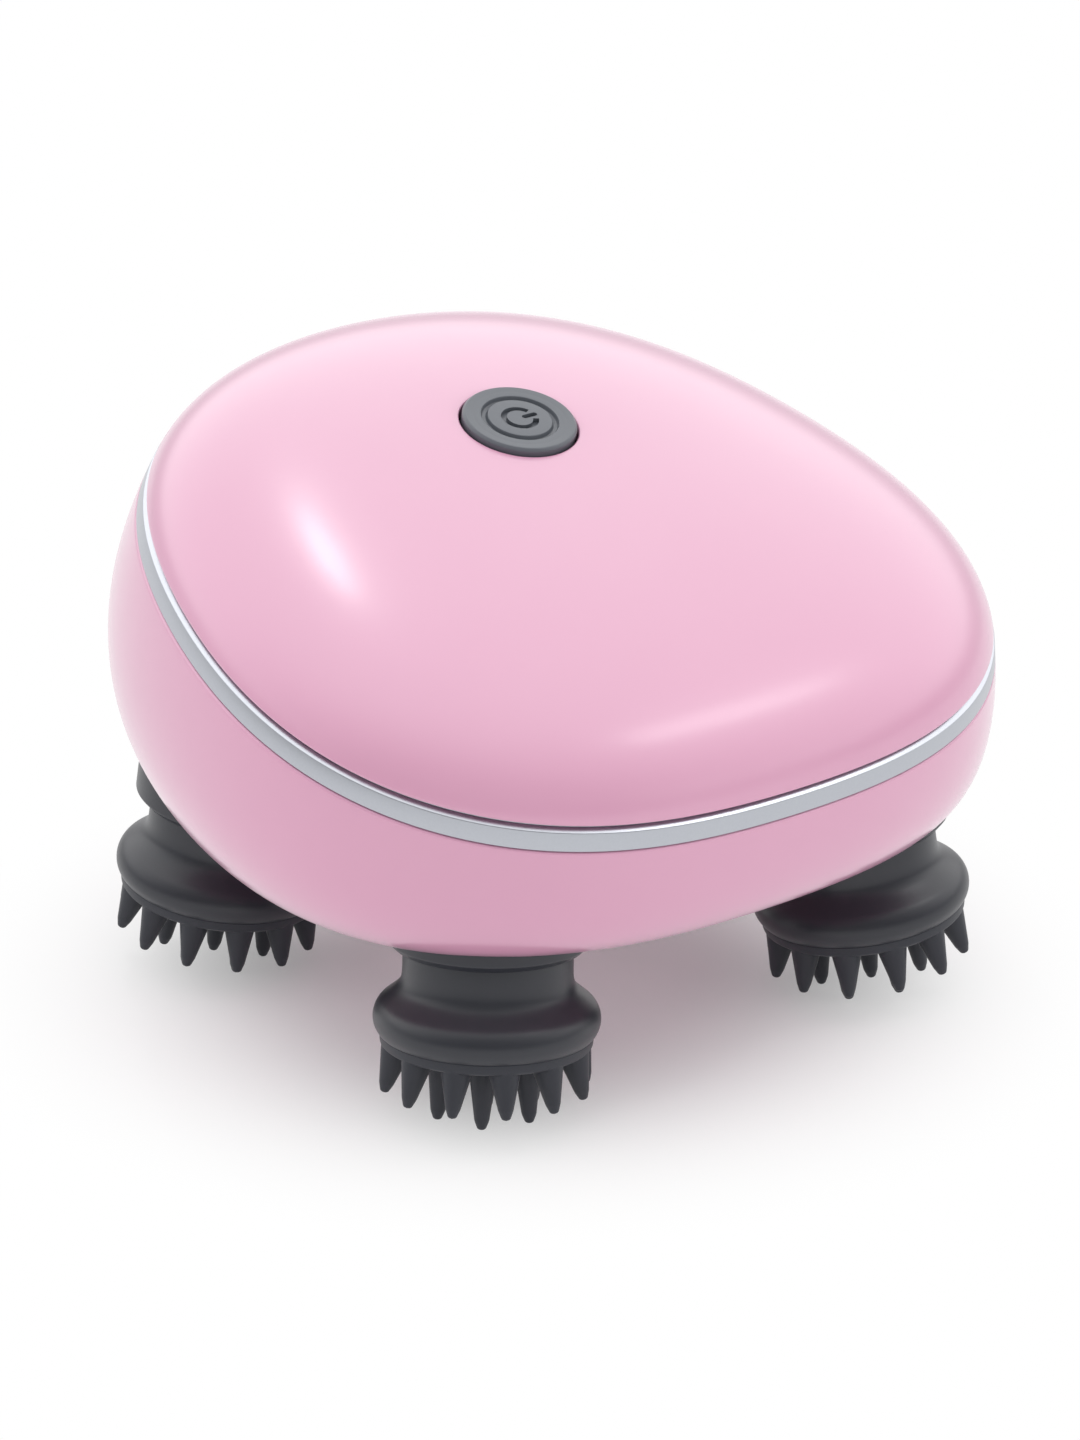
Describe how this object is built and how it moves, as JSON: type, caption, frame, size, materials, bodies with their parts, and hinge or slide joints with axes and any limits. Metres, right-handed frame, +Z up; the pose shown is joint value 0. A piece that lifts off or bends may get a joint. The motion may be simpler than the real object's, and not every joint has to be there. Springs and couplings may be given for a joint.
{
  "type": "electric pet massager",
  "caption": "Palm-size electric pet massager: pebble-shaped two-shell body with a trim ring and a power button on splayed turning heads with soft nubs, driven by one geared motor.",
  "frame": {"origin": "middle of the bounding box, on the plane that the lowest nub tips stand on", "axes": "+Z up from the nub tips to the button; +X towards the slim front, the end to which the seam slopes down; the XZ plane is the mirror plane of the shells; +Y to the left of the front"},
  "size_m": [0.1126, 0.1152, 0.0826],
  "materials": {
    "pink_shell": "Glossy injection-moulded ABS",
    "silver_trim": "Satin anodised aluminium",
    "button_grey": "Satin painted ABS",
    "charcoal_silicone": "Satin moulded silicone rubber",
    "charcoal_plastic": "Satin moulded ABS",
    "black_rubber": "Moulded nitrile rubber",
    "white_acetal": "Moulded acetal",
    "steel": "Turned and stamped steel",
    "bronze": "Sintered bronze",
    "board_green": "Glass-epoxy board with green solder resist",
    "black_plastic": "Moulded component bodies",
    "cell_blue": "Heat-shrunk sleeve on a steel can",
    "red_lead": "PVC lead insulation",
    "black_lead": "PVC lead insulation",
    "pink_silicone": "Moulded silicone"
  },
  "bodies": {
    "casing": {"upper_shell": "pink_shell", "trim_ring": "silver_trim", "lower_shell": "pink_shell", "case_screws": "steel", "button_retainer": "white_acetal", "switch_body": "black_plastic", "circuit_board": "board_green", "board_parts": "black_plastic", "board_screws": "steel", "gear_plate": "white_acetal", "plate_screws": "steel", "drive_axle": "steel", "motor_gearhead": "steel", "motor_can": "steel", "motor_end_cap": "black_plastic", "motor_screws": "steel", "motor_leads": "red_lead", "cell": "cell_blue", "cell_cradle": "white_acetal", "cell_leads": "red_lead", "charge_socket": "steel", "charge_leads": "black_lead", "head_collar_1": "charcoal_plastic", "head_collar_2": "charcoal_plastic", "head_collar_3": "charcoal_plastic", "head_collar_4": "charcoal_plastic", "head_bush_1": "bronze", "head_bush_2": "bronze", "head_bush_3": "bronze", "head_bush_4": "bronze", "head_seal_1": "black_rubber", "head_seal_2": "black_rubber", "head_seal_3": "black_rubber", "head_seal_4": "black_rubber"},
    "drive_wheel": {"drive_gear": "white_acetal"},
    "motor_rotor": {"motor_shaft": "steel", "motor_pinion": "white_acetal"},
    "button": {"button_cap": "button_grey"},
    "switch": {"switch_plunger": "white_acetal"},
    "cover": {"port_cover": "pink_silicone"},
    "head_1": {"head_spindle_1": "steel", "head_clip_1": "steel", "head_gear_1": "white_acetal", "head_hub_1": "charcoal_plastic", "head_pad_1": "charcoal_silicone"},
    "head_2": {"head_spindle_2": "steel", "head_clip_2": "steel", "head_gear_2": "white_acetal", "head_hub_2": "charcoal_plastic", "head_pad_2": "charcoal_silicone"},
    "head_3": {"head_spindle_3": "steel", "head_clip_3": "steel", "head_gear_3": "white_acetal", "head_hub_3": "charcoal_plastic", "head_pad_3": "charcoal_silicone"},
    "head_4": {"head_spindle_4": "steel", "head_clip_4": "steel", "head_gear_4": "white_acetal", "head_hub_4": "charcoal_plastic", "head_pad_4": "charcoal_silicone"}
  },
  "joints": [
    {"name": "drive_spin", "type": "hinge", "parent": "casing", "child": "drive_wheel", "pos_m": [0.0022, 0, 0.03596], "axis": [0, 0, 1], "continuous": true},
    {"name": "motor_spin", "type": "hinge", "parent": "casing", "child": "motor_rotor", "pos_m": [-0.03482, 0, 0.03596], "axis": [0, 0, 1], "continuous": true},
    {"name": "head_1_spin", "type": "hinge", "parent": "casing", "child": "head_1", "pos_m": [0.0322, 0.032, 0.01026], "axis": [-0.0952, -0.1015, 0.9903], "continuous": true},
    {"name": "head_2_spin", "type": "hinge", "parent": "casing", "child": "head_2", "pos_m": [-0.0278, 0.032, 0.01026], "axis": [0.0952, -0.1015, 0.9903], "continuous": true},
    {"name": "head_3_spin", "type": "hinge", "parent": "casing", "child": "head_3", "pos_m": [-0.0278, -0.032, 0.01026], "axis": [0.0952, 0.1015, 0.9903], "continuous": true},
    {"name": "head_4_spin", "type": "hinge", "parent": "casing", "child": "head_4", "pos_m": [0.0322, -0.032, 0.01026], "axis": [-0.0952, 0.1015, 0.9903], "continuous": true},
    {"name": "button_press", "type": "slide", "parent": "casing", "child": "button", "axis": [-0.2626, 0, -0.9649], "range_m": [0, 0.0008], "stiffness_N_per_m": 300, "springref_m": -0.0015},
    {"name": "switch_press", "type": "slide", "parent": "casing", "child": "switch", "axis": [-0.2626, 0, -0.9649], "range_m": [0, 0.0008]},
    {"name": "cover_hinge", "type": "hinge", "parent": "casing", "child": "cover", "pos_m": [-0.05491, 0, 0.04906], "axis": [0, -1, 0], "range_deg": [0, 90], "stiffness_Nm_per_rad": 0.0002, "springref_deg": -11.46}
  ],
  "couplings": [
    {"joint": "motor_spin", "follows": "drive_spin", "ratio": -4.3636},
    {"joint": "head_1_spin", "follows": "drive_spin", "ratio": -3},
    {"joint": "head_2_spin", "follows": "drive_spin", "ratio": -3},
    {"joint": "head_3_spin", "follows": "drive_spin", "ratio": -3},
    {"joint": "head_4_spin", "follows": "drive_spin", "ratio": -3},
    {"joint": "switch_press", "follows": "button_press", "ratio": 1}
  ]
}
